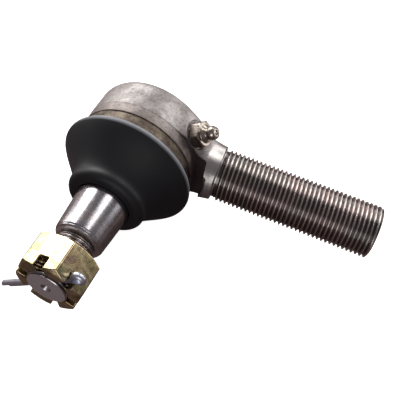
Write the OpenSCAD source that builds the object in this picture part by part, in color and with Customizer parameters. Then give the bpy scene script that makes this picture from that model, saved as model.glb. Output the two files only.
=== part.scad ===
// Heavy-duty tie rod end: a forged head and threaded shank, with a greased ball stud,
// a rubber dust boot, a slotted nut and its cotter pin. Millimetres.
// Origin: centre of the ball. The stud points along -Y, the shank towards +X, +Z is up.

/* [Head] */
// Outer radius of the forged head
head_r = 29; // [26:0.5:36]
// Ball centre to the head's back face, where the end cap is rolled in
head_back = 15; // [14:0.25:19]
// Ball centre to the head's front face, under the boot
head_front = 18.5; // [16:0.25:23]
// Radius that rounds the head's back edge
back_fillet = 6; // [3:0.5:7]
// How deep the front of the head is turned down
land_step = 0.7; // [0.3:0.1:1.2]
// Ball centre to the start of that turned land
land_start = 8.8; // [6:0.2:11]
// Ball centre to the floor of the ring cut that clears neck and boss away from the boot
ring_floor = 3.5; // [3:0.1:6]
// How far that ring cut reaches past the head, in radius
ring_reach = 6; // [5:0.1:7]

/* [Shank] */
// Major diameter of the shank thread
thread_d = 25.4; // [20:0.2:31]
// Pitch of the shank thread
thread_pitch = 2.117; // [1.5:0.001:3]
// Ball centre to the end of the shank
shank_end = 116.8; // [90:1:150]
// Ball centre to the first thread
thread_start = 40.3; // [36:0.5:48]
// Angle that the shank leans back from square with the stud
shank_angle = 4.9; // [0:0.1:8]
// How much the plain neck is wider than the thread, in radius, next to the thread
neck_step = 0.6; // [0.2:0.1:1.5]
// How much more the neck grows where it enters the head, in radius
neck_flare = 3.8; // [2:0.1:6]
// Depth of the centre hole in the shank's end
centre_hole = 4; // [2:0.5:6]

/* [Ball stud] */
// Radius of the ball
ball_r = 15.875; // [13:0.125:18]
// Radius of the neck just outside the ball
stud_neck_r = 10.5; // [8:0.25:11]
// Ball centre to the small end of the taper
taper_end = 61.5; // [52:0.5:75]
// Length of the taper
taper_len = 30.5; // [24:0.5:34]
// Radius of the taper's small end
taper_small_r = 11.5; // [10.5:0.1:13]
// Radius gained per millimetre along the taper
taper_slope = 0.0625; // [0.04:0.0005:0.084]
// Major diameter of the stud thread
stud_thread_d = 19.05; // [15:0.05:20.5]
// Pitch of the stud thread
stud_pitch = 1.5875; // [1:0.0005:2]
// Largest angle that the stud tilts
swing = 20; // [10:1:24]

/* [Bearings] */
// Thickness of the bearings at the ball's equator
bearing_wall = 5; // [3.5:0.25:6]
// Gap between the two bearings, a ring that the grease runs round
grease_gap = 1.5; // [0.8:0.1:2.5]
// Thickness of the disc spring
spring_t = 1.2; // [0.8:0.1:1.6]
// Axial room that the cap-side bearing has to move back
pad_travel = 0.6; // [0.3:0.1:1]

/* [End cap] */
// Sheet thickness of the end cap
cap_t = 2.2; // [1.5:0.1:2.8]
// How far the cap's flange reaches past the bearing bore, in radius
cap_flange = 2.8; // [2.4:0.1:3.4]
// Thickness of the head's lip rolled over the cap
lip_t = 2.3; // [1.5:0.1:3]
// How far the lip reaches in over the cap
lip_reach = 3.2; // [2:0.1:4]
// Height of the cap's dome
dome_rise = 5; // [3:0.25:7]
// Radius of the seal's round section
seal_r = 0.75; // [0.5:0.05:0.9]

/* [Boot] */
// How far the boot's rim bulges out past the head, in radius
boot_bulge = 3.2; // [2:0.1:5]
// Depth of the step that the boot's rim sits on
boot_seat_step = 3; // [2.4:0.1:4]
// Length of that step
boot_seat_len = 2.9; // [2:0.1:4]
// Radius of the boot's small end
boot_lip_r = 19.6; // [17:0.1:23]
// Ball centre to the boot's small end face
boot_end = 40.4; // [36:0.2:46]
// Wall of the boot
boot_wall = 2.6; // [1.8:0.1:3.4]
// Wall of the two steel rings inside the boot
ring_t = 1.1; // [0.7:0.1:1.6]

/* [Slotted nut] */
// Width across the nut's flats
nut_af = 28.575; // [24:0.1:36]
// Thickness of the nut
nut_h = 17.4; // [15:0.1:24]
// Gap between the end of the taper and the nut
nut_gap = 8.9; // [4:0.1:12]
// Width of the slots
slot_w = 4.4; // [3.6:0.1:6]
// Depth of the slots
slot_d = 5.7; // [4.5:0.1:7]
// Angle of the flat that takes the pin, from the shank's side towards the top
nut_turn = 46; // [0:1:90]
// How far the stud's end stands out of the nut
stud_proud = 0.6; // [0:0.1:4]

/* [Cotter pin] */
// Diameter of the closed pin
pin_d = 3.1; // [2:0.1:3.4]
// Length of the longer leg under the eye
pin_len = 50.8; // [40:0.1:64]
// How much shorter the other leg is
pin_short = 5; // [0:0.5:8]
// Hole in the stud, wider than the pin by this much
pin_hole_play = 0.8; // [0.4:0.1:1.2]

/* [Grease fitting] */
// Angle of the port round the head, from the shank's side towards the top
port_angle = 39.5; // [36:0.5:50]
// Distance of the port behind the ball centre
port_back = 3; // [0:0.25:5]
// Radius of the port's boss at its face
boss_r = 7.5; // [6.5:0.1:9]
// How far the boss stands out of the head
boss_rise = 1.2; // [0.8:0.1:3]
// Radius of the tapped hole
port_r = 4.8; // [4:0.05:5.4]
// Depth of the tapped hole
port_depth = 8.2; // [6:0.1:9.5]
// Width across flats of the fitting
fitting_af = 11.1; // [9:0.1:12.5]
// Length of the fitting outside the boss
fitting_out = 11.2; // [9:0.1:15]
// Radius of the fitting's check ball
check_r = 1.25; // [0.8:0.05:1.4]

/* [Hidden] */
$fn = 96;
// clearances
seat_gap = 0.05;        // between pieces that sit in one another
run_gap = 0.08;         // ball in its bearings, rings on what they turn on
free_gap = 0.3;         // between pieces that must never touch
swing_gap = 1.5;        // round the stud's neck at full tilt
cut = 1;                // how far a cutting shape runs past the surface it opens
arc_steps = 10;         // straight pieces that stand for a round stretch of an outline

// socket
bore_r = ball_r + bearing_wall;
neck_ball_angle = asin(stud_neck_r / ball_r);
seat_front = ball_r * cos(neck_ball_angle + swing + 2.5);
seat_front_r = bore_r - bearing_wall * 0.72;
mouth_in_r = stud_neck_r / cos(swing) + seat_front * tan(swing) + swing_gap;
mouth_out_r = stud_neck_r / cos(swing) + head_front * tan(swing) + 2 * swing_gap;
lip_in = -head_back + lip_t;                 // inner face of the rolled lip
cap_seat = lip_in + cap_t + seat_gap;        // inner face of the cap's flange
cap_r = bore_r + cap_flange;
groove_r = bore_r + cap_flange / 2;
pad_back = cap_seat + pad_travel + 0.3;      // back face of the cap-side bearing
hub_back = pad_back - 2.3;                   // spring seat on that bearing's hub
hub_r = ball_r - 2.6;
// turning lines
land_r = head_r - land_step;
boot_seat_r = head_r - boot_seat_step;
shoulder = head_front - boot_seat_len;
edge = 0.8;                                  // small chamfers on the forging and the stud
neck_r = thread_d / 2 + neck_step;
relief_len = 1.2;
neck_end = thread_start - relief_len - 0.6;
// threads: depth and flats follow the unified thread form
shank_depth = 0.6134 * thread_pitch;
stud_depth = 0.6134 * stud_pitch;
stud_major_r = stud_thread_d / 2;
// stud stations
taper_start = taper_end - taper_len;
taper_big_r = taper_small_r + taper_slope * taper_len;
stud_thread_start = taper_end + 2.6;
nut_face = taper_end + nut_gap;
nut_end = nut_face + nut_h;
stud_end = nut_end + stud_proud;
pin_at = nut_end - slot_d + pin_d / 2 + 0.5;
pin_hole_r = (pin_d + pin_hole_play) / 2;
// the swung ball still stays in front of the spring
ball_flat = -ball_r * sin(asin(-(hub_back + free_gap) / ball_r) - swing);
// boot stations
boot_top = shoulder + 0.2;
rim_round = 2.4;
rim_centre_r = head_r + boot_bulge - rim_round;
rim_centre = boot_top + rim_round - 0.4;
lip_round = 3.4;
lip_centre = boot_end - lip_round;
lip_centre_r = boot_lip_r - lip_round;
lip_ring_len = 4;
lip_ring_at = boot_end - 2 - lip_ring_len;
// port and fitting, measured from the stud axis along the port
port_face = head_r + boss_rise;
port_floor = port_face - port_depth;
stem_r = port_r - run_gap;
fitting_face = port_face + 0.5;
fitting_tip = fitting_face + fitting_out;
check_at = fitting_tip - 1.45;
check_seat_r = check_r * 0.8;
fitting_bore = check_r + 0.15;
spring_len = 5.5;

function taper_r(s) = taper_small_r + taper_slope * (taper_end - s);
// points [radius, station] on an arc round a centre given the same way
function arc(c, r, a0, a1, n = arc_steps) =
    [for (i = [0 : n]) let (a = a0 + (a1 - a0) * i / n) c + r * [cos(a), sin(a)]];
// points on a quadratic curve from a to c, pulled towards b
function bend(a, b, c, n = arc_steps) =
    [for (i = [0 : n]) let (t = i / n) (1 - t) * (1 - t) * a + 2 * t * (1 - t) * b + t * t * c];
function reversed(list) = [for (i = [len(list) - 1 : -1 : 0]) list[i]];
// outline of a row of V grooves from z0 to z1: crest radius r, flats of an eighth of the pitch
function grooves(r, depth, pitch, z0, z1) =
    [for (i = [0 : floor((z1 - z0) / pitch) - 1], q = [[0, 0], [0.125, 0], [0.5, 1], [0.625, 1]])
        [r - depth * q[1], z0 + pitch * (i + q[0])]];

// drawing frames: the stud's, with its axis on Z, the shank's and the grease port's
module on_stud() { rotate([90, 0, 0]) children(); }
module on_shank() { rotate([0, 90, shank_angle]) children(); }
module on_port() { translate([0, port_back, 0]) rotate([0, 90 - port_angle, 0]) children(); }
module turned(outline) { rotate_extrude() polygon(outline); }

// outside of the head, closed to its axis
module head_blank() {
    turned(concat([[0, -head_back]],
        arc([head_r - back_fillet, back_fillet - head_back], back_fillet, -90, 0),
        [[head_r, land_start - land_step], [land_r, land_start], [land_r, shoulder - edge / 2],
         [land_r - edge / 2, shoulder], [boot_seat_r, shoulder], [boot_seat_r, head_front - edge],
         [boot_seat_r - edge, head_front], [0, head_front]]));
}

// cap recess, bearing bore, conical seat and flared mouth
module socket() {
    lip_r = cap_r - lip_reach;
    turned([[0, -head_back - cut], [lip_r + 0.4, -head_back - cut], [lip_r + 0.4, -head_back],
        [lip_r, -head_back + 0.6], [lip_r, lip_in], [cap_r + seat_gap, lip_in],
        [cap_r + seat_gap, cap_seat + seat_gap], [bore_r, cap_seat + seat_gap],
        [bore_r, 0], [seat_front_r, seat_front], [mouth_in_r, seat_front],
        [mouth_out_r, head_front], [mouth_out_r, head_front + cut], [0, head_front + cut]]);
    // groove for the seal in the cap's seat
    rotate_extrude()
        translate([groove_r - seal_r - seat_gap, cap_seat])
            square([2 * (seal_r + seat_gap), 2 * seal_r + 2 * seat_gap]);
}

module shank_blank() {
    major_r = thread_d / 2;
    relief = thread_start - relief_len;
    flare_len = 16;
    flare = [for (i = [arc_steps : -1 : 0]) let (t = i / arc_steps)
        [neck_r + neck_flare * pow(t, 1.3), neck_end - flare_len * t]];
    turned(concat([[0, neck_end - flare_len]], flare,
        [[major_r - shank_depth, relief], [major_r - shank_depth, thread_start - 0.2]],
        grooves(major_r, shank_depth, thread_pitch, thread_start, shank_end - 1.6),
        [[major_r - shank_depth, shank_end], [0, shank_end]]));
}

// everything behind a cone that runs from the head's back flush to the neck's
module behind_neck() {
    neck_back = -neck_r / cos(shank_angle) - neck_end * tan(shank_angle) - 0.2;
    deep = neck_back - thread_d;
    turned([[0, deep], [neck_end + 3, deep], [neck_end, neck_back], [head_r - 2, -head_back],
        [0, -head_back]]);
}

// what the ring cutter takes off neck and boss, round the head
module ring_cut() {
    turned([[0, ring_floor], [head_r + ring_reach, ring_floor], [head_r + ring_reach, boot_end],
        [0, boot_end]]);
}

module housing() {
    color("silver") difference() {
        union() {
            on_stud() head_blank();
            difference() {
                union() {
                    on_shank() shank_blank();
                    on_port() turned([[0, 0], [boss_r + 1.5, 0], [boss_r + 1.5, head_r - 4],
                        [boss_r, port_face - edge], [boss_r - edge, port_face], [0, port_face]]);
                }
                on_stud() behind_neck();
                on_stud() ring_cut();
            }
        }
        on_stud() socket();
        on_port() translate([0, 0, port_floor]) cylinder(r = port_r, h = port_depth + cut);
        on_port() cylinder(r = 2, h = port_face);
        // spot face for the fitting
        on_port() translate([0, 0, port_face]) cylinder(r = boss_r - edge, h = fitting_out);
        on_shank() translate([0, 0, shank_end - centre_hole])
            cylinder(r1 = 0.4, r2 = 0.4 + (centre_hole + cut) * tan(30), h = centre_hole + cut);
    }
}

module stud_side_bearing() {
    color("dimgray") on_stud() difference() {
        turned([[ball_r - 3, 0], [bore_r - run_gap, 0], [seat_front_r - run_gap, seat_front - seat_gap],
            [ball_r - 3, seat_front - seat_gap]]);
        sphere(r = ball_r + run_gap);
        // four grease grooves up the spherical seat
        for (a = [45 : 90 : 315]) rotate([0, 0, a])
            translate([ball_r - 1.2, 0, -cut]) cylinder(r = 1.5, h = seat_front);
    }
}

module cap_side_bearing() {
    color("dimgray") on_stud() difference() {
        turned([[ball_r - 6, hub_back], [hub_r, hub_back], [hub_r, pad_back],
            [bore_r - run_gap - 0.4, pad_back], [bore_r - run_gap, pad_back + 0.4],
            [bore_r - run_gap, -grease_gap], [ball_r - 6, -grease_gap]]);
        sphere(r = ball_r + run_gap);
        for (a = [0 : 90 : 270]) rotate([0, 0, a])
            translate([ball_r - 1.2, 0, -5]) cylinder(r = 1.5, h = 5);
    }
}

// disc spring between the bearing's hub and the inside of the cap's dome
module disc_spring() {
    outer_r = hub_r - 0.8;
    back = lip_in + cap_t - dome_rise + seat_gap;
    color("steelblue") on_stud()
        turned([[outer_r, hub_back - seat_gap], [outer_r, hub_back - seat_gap - spring_t],
            [outer_r * 0.5, back], [outer_r * 0.5 - 0.6, back + 0.5],
            [outer_r * 0.5 - 0.6, back + spring_t], [outer_r - 1.2, hub_back - seat_gap]]);
}

module end_cap() {
    wide = hub_r + 3.4;
    narrow = wide - dome_rise;
    color("darkgray") on_stud()
        turned([[0, lip_in - dome_rise], [narrow, lip_in - dome_rise], [wide, lip_in + seat_gap],
            [cap_r, lip_in + seat_gap], [cap_r, cap_seat], [wide - 0.8, cap_seat],
            [narrow - 0.8, lip_in + cap_t - dome_rise], [0, lip_in + cap_t - dome_rise]]);
}

module cap_seal() {
    color("black") on_stud() rotate_extrude()
        translate([groove_r, cap_seat + seat_gap + seal_r]) circle(r = seal_r, $fn = 48);
}

module dust_boot() {
    side_top = [rim_centre_r + rim_round * cos(40), rim_centre + rim_round * sin(40)];
    side_low = [lip_centre_r + lip_round * cos(-32), lip_centre + lip_round * sin(-32)];
    pull = [0.5 * (side_top[0] + side_low[0]) - 1.2, 0.5 * (side_top[1] + side_low[1]) - 1.8];
    inward = [-boot_wall * 0.98, -boot_wall * 0.62];
    pocket_r = boot_seat_r + run_gap + ring_t + seat_gap;
    ring_r = taper_r(lip_ring_at) + run_gap + ring_t + free_gap;
    outside = concat([[pocket_r, boot_top], [rim_centre_r - 0.6, boot_top]],
        arc([rim_centre_r, rim_centre], rim_round, -60, 40),
        bend(side_top, pull, side_low),
        arc([lip_centre_r, lip_centre], lip_round, -32, 82));
    inside = concat([[pocket_r, boot_top], [pocket_r, head_front + 0.3]],
        bend(side_top + inward + [-0.6, 1.4], pull + inward, side_low + inward + [0, -0.6]),
        [[ring_r, lip_ring_at - 0.2], [ring_r, lip_ring_at + lip_ring_len + 0.2],
         [taper_r(boot_end - 1.6) + free_gap, lip_ring_at + lip_ring_len + 0.2],
         [taper_r(boot_end) + free_gap, boot_end - 0.1]]);
    color("#1c1c1e") on_stud() turned(concat(outside, reversed(inside)));
}

module boot_seat_ring() {
    color("gray") on_stud() turned([[boot_seat_r + run_gap, boot_top], [boot_seat_r + run_gap + ring_t, boot_top],
        [boot_seat_r + run_gap + ring_t, head_front + 0.2], [boot_seat_r + run_gap, head_front + 0.2]]);
}

module boot_lip_ring() {
    top = lip_ring_at + lip_ring_len;
    outer_r = taper_r(lip_ring_at) + run_gap + ring_t;
    color("gray") on_stud() turned([[taper_r(lip_ring_at) + run_gap, lip_ring_at], [outer_r, lip_ring_at],
        [outer_r, top], [taper_r(top) + run_gap, top]]);
}

module ball_stud() {
    neck_out = sqrt(ball_r * ball_r - stud_neck_r * stud_neck_r);
    root_r = stud_major_r - stud_depth;
    color("lightgray") difference() {
        on_stud() union() {
            difference() {
                sphere(r = ball_r);
                translate([0, 0, ball_flat - ball_r]) cube(2 * ball_r, center = true);
            }
            turned(concat([[0, 0], [stud_neck_r - 1, 0], [stud_neck_r, neck_out - 1]],
                bend([stud_neck_r, head_front - 2], [stud_neck_r, taper_start - 4], [taper_big_r, taper_start]),
                [[taper_small_r, taper_end], [taper_small_r - 0.5, taper_end + 0.9],
                 [stud_major_r + 0.2, taper_end + 1.9], [root_r, stud_thread_start - 0.4],
                 [root_r, stud_thread_start - 0.1]],
                grooves(stud_major_r, stud_depth, stud_pitch, stud_thread_start, stud_end - 1),
                [[root_r + 0.1, stud_end], [0, stud_end]]));
        }
        on_stud() rotate([0, 0, nut_turn]) translate([0, 0, pin_at]) rotate([0, 90, 0])
            cylinder(r = pin_hole_r, h = 2 * taper_big_r, center = true);
        on_stud() translate([0, 0, stud_end - 2.5]) cylinder(r1 = 0.4, r2 = 2.4, h = 2.5 + cut);
        // flat-bottomed grease pocket in the ball's flat
        on_stud() translate([0, 0, ball_flat - cut]) cylinder(r = 3, h = 3);
    }
}

module slotted_nut() {
    corner_r = nut_af / sqrt(3);
    chamfer_r = nut_af / 2 - 0.3;
    drop = (corner_r - chamfer_r + cut) * tan(30);
    root_r = stud_major_r - stud_depth;
    color("goldenrod") on_stud() rotate([0, 0, nut_turn]) difference() {
        intersection() {
            rotate([0, 0, 30]) translate([0, 0, nut_face]) cylinder(r = corner_r, h = nut_h, $fn = 6);
            turned([[0, nut_face], [chamfer_r, nut_face], [corner_r + cut, nut_face + drop],
                [corner_r + cut, nut_end - drop], [chamfer_r, nut_end], [0, nut_end]]);
        }
        translate([0, 0, nut_face - cut]) cylinder(r = root_r + run_gap + 0.05, h = nut_h + 2 * cut);
        // threads that match the stud's, and a countersink at each end
        turned(concat([[0, nut_face - cut]],
            [for (p = grooves(stud_major_r + run_gap, stud_depth - 0.05, stud_pitch, stud_thread_start, nut_end + 3 * stud_pitch))
                if (p[1] > nut_face + 0.6 && p[1] < nut_end - 0.6) p], [[0, nut_end + cut]]));
        translate([0, 0, nut_face - 0.01]) cylinder(r1 = stud_major_r + 0.7, r2 = root_r, h = stud_depth + 0.7);
        translate([0, 0, nut_end - stud_depth - 0.7]) cylinder(r1 = root_r, r2 = stud_major_r + 0.7, h = stud_depth + 0.71);
        for (a = [0 : 60 : 300]) rotate([0, 0, a])
            translate([0, -slot_w / 2, nut_end - slot_d]) cube([corner_r + cut, slot_w, slot_d + cut]);
    }
}

// split pin of half-round wire: two legs side by side, and an open eye outside the nut
module cotter_pin() {
    wire_r = pin_d / 2;
    eye_at = nut_af / 2 + 0.8;
    eye_in = 1.9;
    slit = 0.1;
    eye_x = eye_at + eye_in + wire_r * 0.9;
    color("thistle") on_stud() rotate([0, 0, nut_turn]) translate([0, 0, pin_at]) {
        for (side = [[1, pin_len], [-1, pin_len - pin_short]])
            translate([eye_at, 0, 0]) rotate([0, -90, 0])
                rotate([0, 0, side[0] > 0 ? 90 : -90])
                    intersection() {
                        cylinder(r = wire_r, h = side[1]);
                        translate([slit / 2, -wire_r - cut, -cut]) cube([pin_d, 2 * (wire_r + cut), side[1] + 2 * cut]);
                    }
        difference() {
            translate([eye_x, 0, 0]) rotate_extrude() intersection() {
                translate([eye_in, 0]) circle(r = wire_r);
                translate([eye_in, -pin_d]) square([pin_d, 2 * pin_d]);
            }
            translate([eye_at - 3 * pin_d, -slit / 2, -pin_d]) cube([3 * pin_d + 0.6, slit, 2 * pin_d]);
        }
    }
}

module grease_fitting() {
    hex_h = 5;
    head_ball_r = 3.3;
    waist = fitting_tip - 4.6;
    hex_r = fitting_af / sqrt(3);
    color("khaki") on_port() difference() {
        union() {
            turned([[0, port_floor + 0.4], [stem_r - 0.9, port_floor + 0.4], [stem_r - 0.4, port_floor + 1.2],
                [stem_r, fitting_face - 1.4], [stem_r - 0.6, fitting_face - 0.6], [stem_r - 0.6, fitting_face + 0.5],
                [0, fitting_face + 0.5]]);
            intersection() {
                translate([0, 0, fitting_face]) cylinder(r = hex_r, h = hex_h, $fn = 6);
                turned([[0, fitting_face], [fitting_af / 2 - 0.1, fitting_face], [hex_r + 0.2, fitting_face + 0.6],
                    [hex_r + 0.2, fitting_face + hex_h - 0.6], [fitting_af / 2 - 0.1, fitting_face + hex_h],
                    [0, fitting_face + hex_h]]);
            }
            turned(concat([[0, fitting_face + hex_h - 0.5], [4.2, fitting_face + hex_h - 0.5], [4.2, fitting_face + hex_h + 0.3],
                [2.6, waist], [2.6, waist + 0.7]],
                arc([0, fitting_tip - 2.3], head_ball_r, -20, 34),
                [[1.7, fitting_tip], [0, fitting_tip]]));
        }
        translate([0, 0, port_floor]) cylinder(r = fitting_bore, h = check_at - port_floor);
        translate([0, 0, check_at - 0.01]) cylinder(r1 = fitting_bore, r2 = check_seat_r, h = 0.9);
        cylinder(r = check_seat_r, h = fitting_tip + cut);
    }
}

module check_ball() {
    color("lightgray") on_port() translate([0, 0, check_at]) sphere(r = check_r - 0.05);
}

// small coil spring behind the check ball: one wire swept round a helix
module check_spring() {
    turns = 6;
    wire_r = 0.2;
    coil_r = fitting_bore - wire_r - 0.12;
    per_turn = 12;
    sides = 6;
    rings = turns * per_turn;
    start = check_at - 0.55 * check_r - spring_len;
    function on_wire(i, j) = let (a = 360 * i / per_turn, b = 360 * j / sides, r = coil_r + wire_r * cos(b))
        [r * cos(a), r * sin(a), start + wire_r + (spring_len - 2 * wire_r) * i / rings + wire_r * sin(b)];
    wall = [for (i = [0 : rings - 1], j = [0 : sides - 1]) let (k = (j + 1) % sides)
        [i * sides + j, (i + 1) * sides + j, (i + 1) * sides + k, i * sides + k]];
    color("silver") on_port() polyhedron(
        points = [for (i = [0 : rings], j = [0 : sides - 1]) on_wire(i, j)],
        faces = concat(wall, [[for (j = [0 : sides - 1]) j]],
            [[for (j = [sides - 1 : -1 : 0]) rings * sides + j]]));
}

housing();
stud_side_bearing();
cap_side_bearing();
disc_spring();
end_cap();
cap_seal();
dust_boot();
boot_seat_ring();
boot_lip_ring();
ball_stud();
slotted_nut();
cotter_pin();
grease_fitting();
check_ball();
check_spring();
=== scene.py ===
# %% [markdown]
# # A tie rod end, from frame to finished picture
# A tie rod end is the ball joint at the end of a truck's steering rod. A forged head holds a
# greased ball stud, a threaded shank screws into the rod, a rubber boot keeps the grease in, and a
# slotted nut with a cotter pin holds the stud's taper in the steering arm. The exact sizes and the
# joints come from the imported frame. This script puts the visible skin round it: surfaces worked
# out with numpy, and a finish for each piece that follows how the real one is made.

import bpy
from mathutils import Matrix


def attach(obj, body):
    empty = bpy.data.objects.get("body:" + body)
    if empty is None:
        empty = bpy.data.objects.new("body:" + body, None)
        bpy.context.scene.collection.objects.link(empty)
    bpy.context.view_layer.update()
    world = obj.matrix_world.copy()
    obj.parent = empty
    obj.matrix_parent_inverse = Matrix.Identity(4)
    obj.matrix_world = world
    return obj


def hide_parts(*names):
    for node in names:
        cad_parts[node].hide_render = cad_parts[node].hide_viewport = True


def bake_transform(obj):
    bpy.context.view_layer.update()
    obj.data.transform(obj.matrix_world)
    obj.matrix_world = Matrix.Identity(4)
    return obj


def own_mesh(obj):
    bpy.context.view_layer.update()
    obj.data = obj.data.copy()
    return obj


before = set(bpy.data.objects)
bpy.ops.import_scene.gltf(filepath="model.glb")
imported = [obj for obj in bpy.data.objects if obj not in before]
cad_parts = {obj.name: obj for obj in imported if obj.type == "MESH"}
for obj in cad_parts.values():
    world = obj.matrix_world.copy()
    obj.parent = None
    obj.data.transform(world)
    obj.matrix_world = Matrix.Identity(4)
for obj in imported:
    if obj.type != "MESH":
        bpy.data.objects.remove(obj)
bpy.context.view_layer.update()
print("pieces in the frame:", sorted(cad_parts))

# %% [markdown]
# ## Three axes
# Almost every piece here is turned, so it is easiest to describe on its own axis and then move into
# the frame. The stud's axis runs along -Y, the shank leans 4.9 degrees back from +X, and the
# grease port looks out of the head at 39.5 degrees, 3 mm behind the ball's centre. Each axis is
# kept as an origin and a turning matrix, whose columns say where the piece's own x, y and z go.
# Lengths are in millimetres until the moment a mesh is made.

# %% Axes
import math

import bmesh
import bpy
import numpy as np
import openvdb
from mathutils import Matrix, Vector

MM = 0.001
SHANK_LEAN = math.radians(4.9)
PORT_ANGLE = math.radians(39.5)
PORT_BACK = 3.0


def axis_frame(x, y, z, origin=(0, 0, 0)):
    """An axis as (turning matrix with columns x, y, z; origin)."""
    return np.array([x, y, z], float).T, np.array(origin, float)


STUD = axis_frame((1, 0, 0), (0, 0, 1), (0, -1, 0))
SHANK = axis_frame((0, 0, -1), (-math.sin(SHANK_LEAN), math.cos(SHANK_LEAN), 0),
                   (math.cos(SHANK_LEAN), math.sin(SHANK_LEAN), 0))
PORT = axis_frame((math.sin(PORT_ANGLE), 0, -math.cos(PORT_ANGLE)), (0, 1, 0),
                  (math.cos(PORT_ANGLE), 0, math.sin(PORT_ANGLE)), (0, PORT_BACK, 0))


def put(points, axis):
    """Points given on an axis, moved into the frame: turn, then shift."""
    turn, origin = axis
    return points @ turn.T + origin


def on_axis(points, axis):
    """Points of the frame, seen from an axis: shift back, then turn back."""
    turn, origin = axis
    return (points - origin) @ turn


print("shank end in the frame, mm:", put(np.array([0, 0, 116.8]), SHANK).round(1))

# %% [markdown]
# ## From points to a piece
# Every piece ends in the same few steps: weld points that fall together, so that seams and poles
# close, turn the faces outwards if the shell's signed volume comes out negative, mark the edges
# that really are sharp, and let large faces rule the shading of the small ones beside them.

# %% Mesh helper
def make_piece(name, points, faces, body, stands_for=(), sharp=32, normals=None):
    """A closed shell from points (n, 3) in mm and faces, riding on a body of the frame."""
    mesh = bpy.data.meshes.new(name)
    mesh.from_pydata(points * MM, [], faces)
    shell = bmesh.new()
    shell.from_mesh(mesh)
    if normals is None:
        bmesh.ops.remove_doubles(shell, verts=shell.verts, dist=2e-6)
        bmesh.ops.dissolve_degenerate(shell, edges=shell.edges, dist=1e-7)
    if shell.calc_volume(signed=True) < 0:
        bmesh.ops.reverse_faces(shell, faces=shell.faces)
    open_edges = sum(not e.is_manifold for e in shell.edges)
    shell.to_mesh(mesh)
    shell.free()
    mesh.shade_smooth()
    piece = bpy.data.objects.new(name, mesh)
    bpy.context.scene.collection.objects.link(piece)
    if normals is None:
        mesh.set_sharp_from_angle(angle=math.radians(sharp))
        piece.modifiers.new("weighted", "WEIGHTED_NORMAL").keep_sharp = True
    else:
        mesh.normals_split_custom_set_from_vertices(normals)
    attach(piece, body)
    if stands_for:
        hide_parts(*stands_for)
    triangles = sum(len(p.vertices) - 2 for p in mesh.polygons)
    print(f"{name}: {triangles} triangles, {open_edges} open edges")
    return piece


def grid_faces(rows, columns):
    """Four-sided faces between neighbouring rows and columns of a grid stored row by row."""
    corner = (np.arange(rows - 1)[:, None] * columns + np.arange(columns - 1)[None, :]).ravel()
    return np.stack([corner, corner + 1, corner + columns + 1, corner + columns], -1)


def soften(outline, radius, steps=5):
    """Rounds each inner corner: a point t of the way round is (1-t)^2 a + 2t(1-t) b + t^2 c, where b is
    the corner, and a and c lie up to radius from it on its two sides."""
    outline = np.asarray(outline, float)
    before, corner, after = outline[:-2], outline[1:-1], outline[2:]
    radius = np.broadcast_to(radius, len(corner))[:, None]
    towards = []
    for end in (before, after):
        side = end - corner
        length = np.linalg.norm(side, axis=1, keepdims=True)
        towards.append(corner + side / length * np.minimum(radius, 0.49 * length))
    t = np.linspace(0, 1, steps)[None, :, None]
    start, end = towards[0][:, None], towards[1][:, None]
    bends = (1 - t) ** 2 * start + 2 * t * (1 - t) * corner[:, None] + t**2 * end
    return np.vstack([outline[:1], bends.reshape(-1, 2), outline[-1:]])


def turned(outline, sides):
    """A surface of revolution: outline point (r, s) at angle a is (r cos a, r sin a, s)."""
    angle = np.linspace(0, 2 * np.pi, sides + 1)[None, :]
    r, s = np.asarray(outline, float).T[:, :, None]
    return np.stack([r * np.cos(angle), r * np.sin(angle), s + 0 * angle], -1)


def spun_piece(name, rows, axis, body, stands_for, sharp=32):
    """A closed piece from rows of points round an axis of the frame."""
    faces = grid_faces(len(rows), rows.shape[1])
    return make_piece(name, put(rows.reshape(-1, 3), axis), faces, body, [stands_for], sharp)


# %% [markdown]
# ## Threads
# A screw thread is a grid sheared along its own axis. Row after row follows the V of the thread,
# and each row climbs by one pitch while it goes once round, so that the ridges are true helices
# and the end of one turn meets the start of the next. The unified form has 60 degree flanks and
# flats of an eighth of the pitch. Both ends run out under a cone, as a chamfered bar's thread does.

# %% Thread helper
def thread_radius(turn_share, major, depth):
    """Radius of the V at a share of one pitch: crest flat, falling flank, root flat, rising flank."""
    return major - depth * np.interp(turn_share % 1.0, [0, 0.1, 0.15, 0.48, 0.53, 0.6, 0.65, 0.97, 1],
                                     [0, 0, 0.05, 0.97, 1, 1, 0.97, 0.04, 0])


def thread_rows(major, depth, pitch, start, stop, sides, end_chamfer):
    """Rows (rows, sides + 1, 3) of a thread from start to stop: row k at angle a lies at
    start + pitch (k + a / 2 pi), cut off at both ends, under a cone that rises from the root."""
    stations = np.array([0, 0.1, 0.15, 0.315, 0.48, 0.53, 0.6, 0.65, 0.81, 0.97])
    turns = np.arange(-1, math.ceil((stop - start) / pitch) + 1)
    share = (turns[:, None] + stations[None, :]).ravel()[:, None]
    angle = np.linspace(0, 2 * np.pi, sides + 1)[None, :]
    s = np.clip(start + pitch * (share + angle / (2 * np.pi)), start, stop)
    r = thread_radius((s - start) / pitch - angle / (2 * np.pi), major, depth)
    cone = np.minimum(major - depth + (s - start) * 1.2, major - end_chamfer + (stop - s) * 1.1)
    r = np.minimum(r, cone)
    return np.stack([r * np.cos(angle), r * np.sin(angle), s], -1)


# %% [markdown]
# ## Carving
# A forging has no crisp outline to spin: its head, neck and boss flow into one another. Such a
# shape is easier to state as a distance: a function that says of any point how far it is outside
# the steel, and is negative inside. Two distances join with a round fillet, or cut one another
# with a round edge, by the same circle formula. The surface is where the distance is zero. It is
# read off a grid of samples, and each of its points is then walked onto the exact surface along
# the slope of the distance, which also gives the exact normals.

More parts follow.
